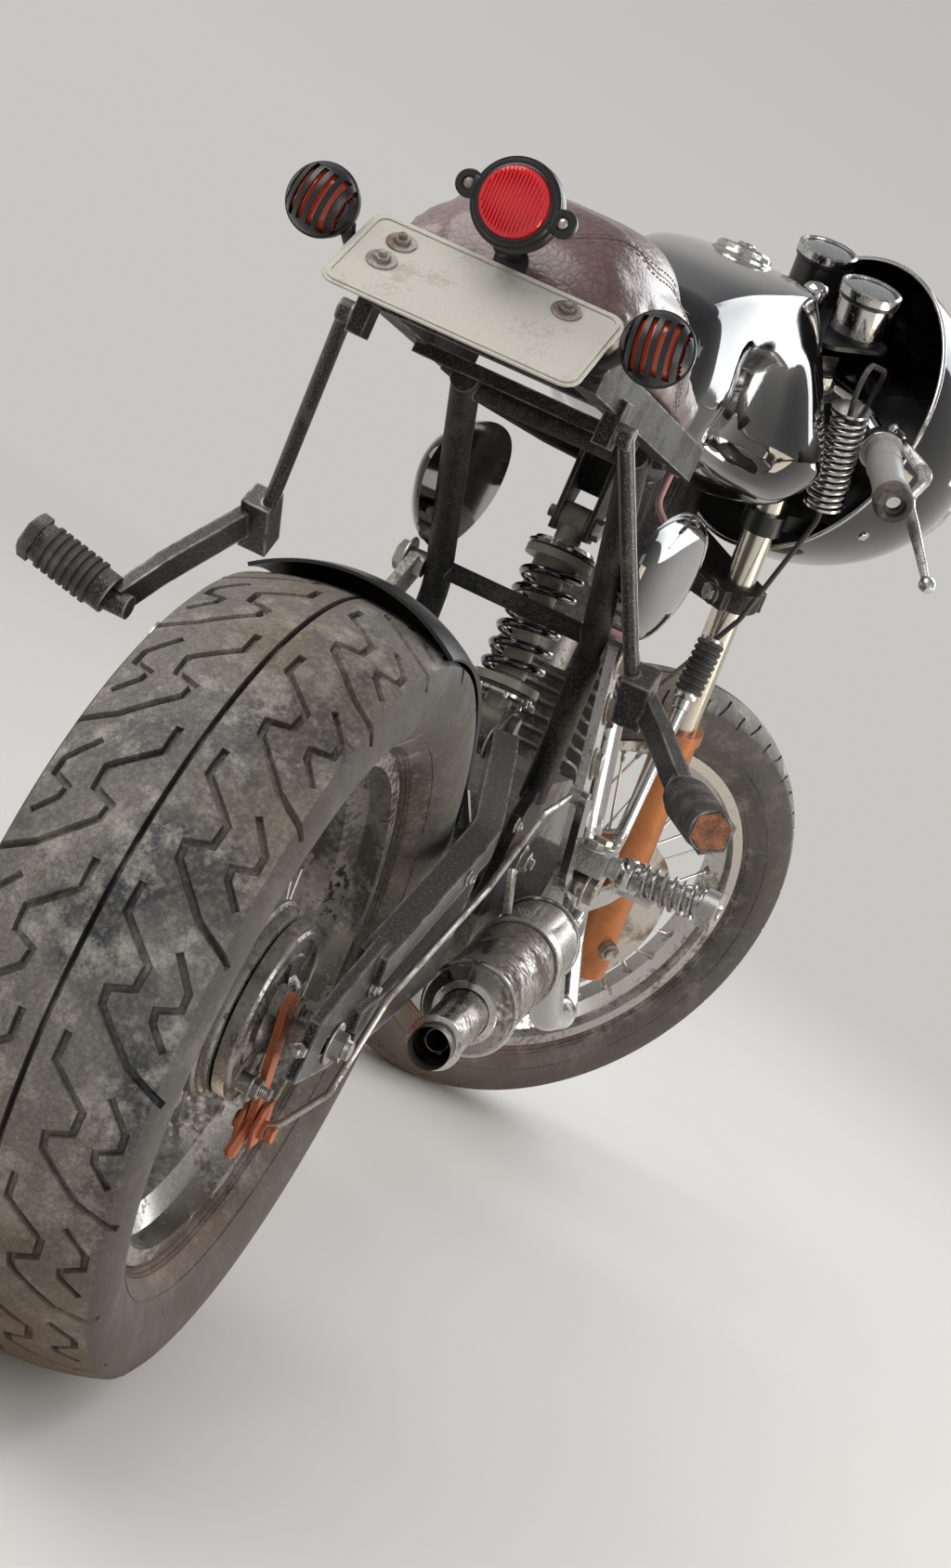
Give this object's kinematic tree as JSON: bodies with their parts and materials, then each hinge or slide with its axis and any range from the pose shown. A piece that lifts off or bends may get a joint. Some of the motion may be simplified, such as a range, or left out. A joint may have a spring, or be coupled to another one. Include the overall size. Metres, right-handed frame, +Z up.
{
  "type": "motorcycle",
  "caption": "Worn cafe racer motorcycle on its side stand, bars turned right, with a round open-backed cowl, leather seat, fat rear tyre and blank plate.",
  "frame": {"origin": "centre of the overall box at the ground", "axes": "+X forward along the motorcycle, +Y to the rider's left, +Z up"},
  "size_m": [1.9001, 0.5992, 1.1192],
  "materials": {
    "tyre": "worn matte rubber, dusty in the grooves",
    "rim_metal": "worn satin",
    "spoke_steel": "satin, lightly rusted",
    "hub_alloy": "cast, dull",
    "steel": "zinc plated, worn",
    "chain_steel": "oiled and dusty",
    "frame_paint": "satin black",
    "worn_paint": "satin black, chipped and speckled with dust",
    "spring_black": "gloss black",
    "damper": "beige grey enamel",
    "engine_alloy": "cast, dull",
    "chrome": "polished",
    "copper_paint": "copper, semi gloss",
    "stanchion": "ground and plated",
    "bracket_alloy": "satin",
    "tank_paint": "gloss black",
    "seat_leather": "glossy brown, stitched",
    "black_plastic": "fine grained",
    "plate_white": "worn enamel",
    "red_lens": "clear moulded",
    "lamp_glass": "clear, fluted",
    "grip_rubber": "ribbed",
    "fuel_hose": "soft, faded"
  },
  "bodies": {
    "frame": {"rear_axle": "steel", "main_frame": "frame_paint", "seat_subframe": "frame_paint", "swingarm": "worn_paint", "shock_absorber": "damper", "shock_spring": "spring_black", "pivot_bolts": "steel", "rear_hugger": "black_plastic", "rear_brake_plate": "hub_alloy", "brake_linkage": "steel", "drive_chain": "chain_steel", "front_sprocket": "steel", "engine_crankcase": "engine_alloy", "engine_cylinder": "engine_alloy", "carburettor": "engine_alloy", "exhaust_header": "chrome", "silencer": "chrome", "fuel_tank": "tank_paint", "fuel_tank_cap": "chrome", "seat": "seat_leather", "side_covers": "tank_paint", "number_plate": "plate_white", "plate_bracket": "black_plastic", "tail_light_housing": "black_plastic", "rear_signals": "black_plastic", "rear_lenses": "red_lens", "pillion_footrests": "frame_paint", "rearset_brackets": "bracket_alloy", "rider_pegs": "bracket_alloy", "foot_levers": "chrome", "fuel_hose": "fuel_hose"},
    "fork": {"triple_clamps": "frame_paint", "fork_tubes": "stanchion", "fork_lowers": "copper_paint", "front_axle": "steel", "brake_caliper": "bracket_alloy", "handlebars": "chrome", "grips": "grip_rubber", "hand_levers": "black_plastic", "headlamp_cowl": "tank_paint", "headlamp_lens": "lamp_glass", "headlamp_bucket": "black_plastic", "gauges": "black_plastic", "hose_spring_guard": "chrome", "brake_hose": "grip_rubber"},
    "front_wheel": {"front_tyre": "tyre", "front_rim": "rim_metal", "front_spokes": "spoke_steel", "front_hub": "hub_alloy", "front_disc": "steel"},
    "rear_wheel": {"rear_tyre": "tyre", "rear_rim": "rim_metal", "rear_spokes": "spoke_steel", "rear_hub": "hub_alloy", "rear_sprocket": "steel"},
    "side_stand": {"side_stand": "frame_paint"}
  },
  "joints": [
    {"name": "steering", "type": "hinge", "parent": "frame", "child": "fork", "pos_m": [0.43258, 0.05184, 0.83322], "axis": [-0.3942, 0.1437, 0.9077], "range_deg": [0, 87.4]},
    {"name": "front_wheel_spin", "type": "hinge", "parent": "fork", "child": "front_wheel", "pos_m": [0.69835, -0.06242, 0.30573], "axis": [0.6348, 0.7568, 0.1559], "continuous": true},
    {"name": "rear_wheel_spin", "type": "hinge", "parent": "frame", "child": "rear_wheel", "pos_m": [-0.64045, -0.0315, 0.3086], "axis": [-0.0002, 0.9877, -0.1564], "continuous": true},
    {"name": "side_stand_fold", "type": "hinge", "parent": "frame", "child": "side_stand", "pos_m": [-0.04045, 0.07314, 0.30359], "axis": [-0.0002, 0.9877, -0.1564], "range_deg": [0, 95]}
  ]
}
